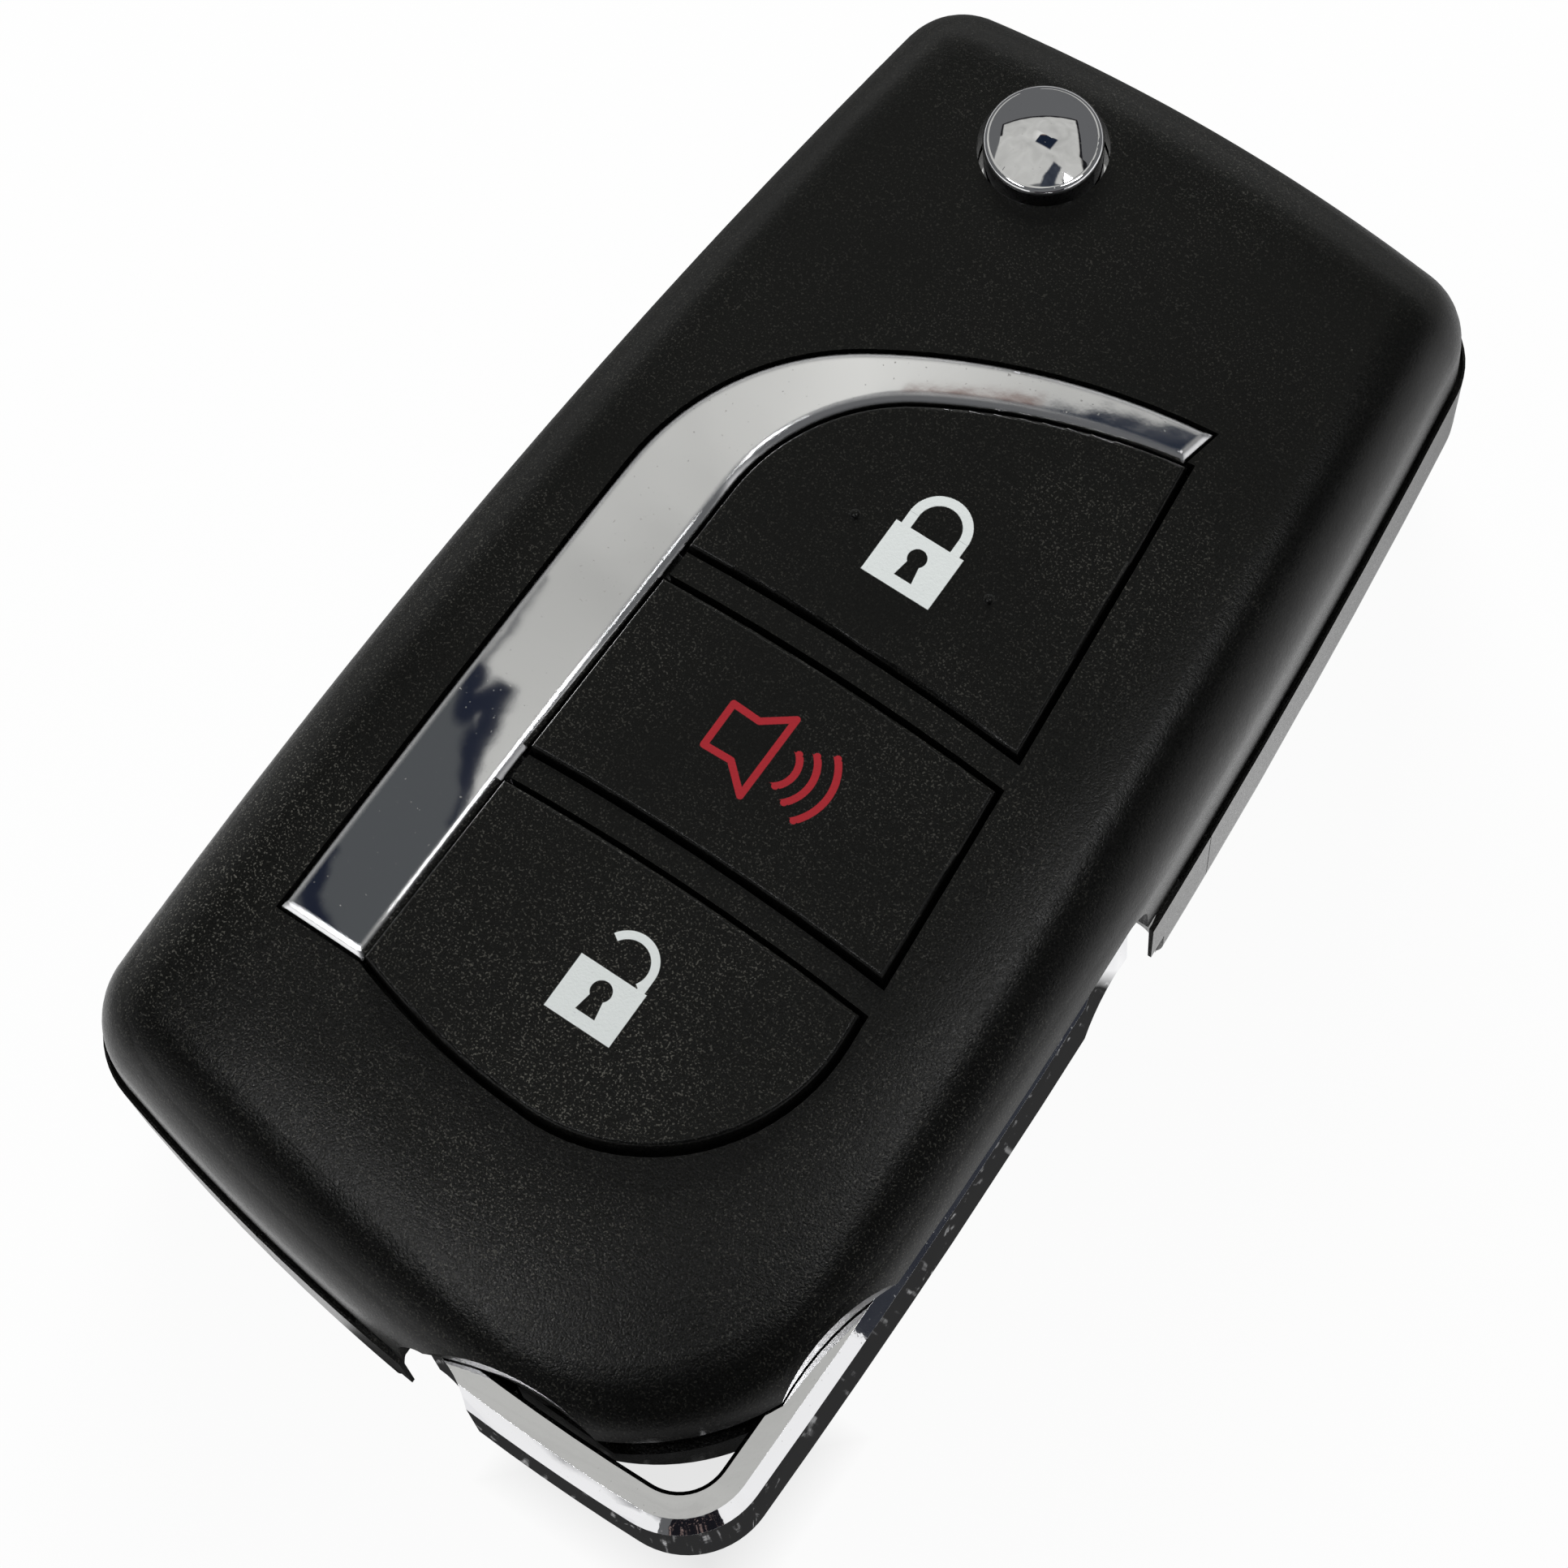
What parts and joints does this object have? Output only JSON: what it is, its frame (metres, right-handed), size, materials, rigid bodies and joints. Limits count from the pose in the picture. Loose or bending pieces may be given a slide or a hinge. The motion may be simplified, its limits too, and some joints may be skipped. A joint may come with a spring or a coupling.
{
  "type": "keyless entry remote",
  "caption": "Slim barrel-sided remote with three flush keys, a chrome inlay beside them, a domed release button, a folding key blade and a corner loop for a key ring.",
  "frame": {"origin": "middle of the case on its flat back, halfway along and across", "axes": "+X to the right across the keys, +Y along the case to the end with the release button, +Z out of the button face"},
  "size_m": [0.0375, 0.0686, 0.0169],
  "materials": {
    "case_plastic": "fine matt grain",
    "key_plastic": "fine matt grain with printed signs",
    "bright_chrome": "polished",
    "cast_chrome": "polished over a cast piece",
    "hub_metal": "satin black",
    "blade_steel": "brushed",
    "spring_steel": "drawn wire",
    "screw_steel": "dark zinc",
    "soft_rubber": "matt",
    "board_laminate": "lacquered laminate",
    "chip_plastic": "moulded",
    "switch_metal": "pressed sheet",
    "cell_steel": "satin",
    "contact_metal": "plated leaf"
  },
  "bodies": {
    "case": {"front_shell": "case_plastic", "rear_shell": "case_plastic", "battery_cover": "case_plastic", "trim_inlay": "bright_chrome", "key_loop": "cast_chrome", "keypad_membrane": "soft_rubber", "circuit_board": "board_laminate", "lock_switch": "switch_metal", "panic_switch": "switch_metal", "unlock_switch": "switch_metal", "control_chip": "chip_plastic", "crystal_can": "switch_metal", "transponder_chip": "chip_plastic", "battery_cell": "cell_steel", "cell_face_contact": "contact_metal", "cell_edge_contact": "contact_metal", "case_screws": "screw_steel"},
    "blade": {"blade_hub": "hub_metal", "key_blade": "blade_steel", "blade_pin": "spring_steel", "hub_spring": "spring_steel"},
    "release": {"release_button": "bright_chrome"},
    "lock_key": {"lock_button": "key_plastic"},
    "panic_key": {"panic_button": "key_plastic"},
    "unlock_key": {"unlock_button": "key_plastic"}
  },
  "joints": [
    {"name": "blade_turn", "type": "hinge", "parent": "case", "child": "blade", "pos_m": [-0.0057, 0.02795, 0.0075], "axis": [0, 0, -1], "range_deg": [0, 180]},
    {"name": "release_press", "type": "slide", "parent": "case", "child": "release", "axis": [0, 0, 1], "range_m": [-0.0012, 0], "stiffness_N_per_m": 1500, "deforming": ["hub_spring"]},
    {"name": "lock_key_press", "type": "slide", "parent": "case", "child": "lock_key", "axis": [0, 0, 1], "range_m": [-0.0004, 0], "stiffness_N_per_m": 5000},
    {"name": "panic_key_press", "type": "slide", "parent": "case", "child": "panic_key", "axis": [0, 0, 1], "range_m": [-0.0004, 0], "stiffness_N_per_m": 5000},
    {"name": "unlock_key_press", "type": "slide", "parent": "case", "child": "unlock_key", "axis": [0, 0, 1], "range_m": [-0.0004, 0], "stiffness_N_per_m": 5000}
  ]
}
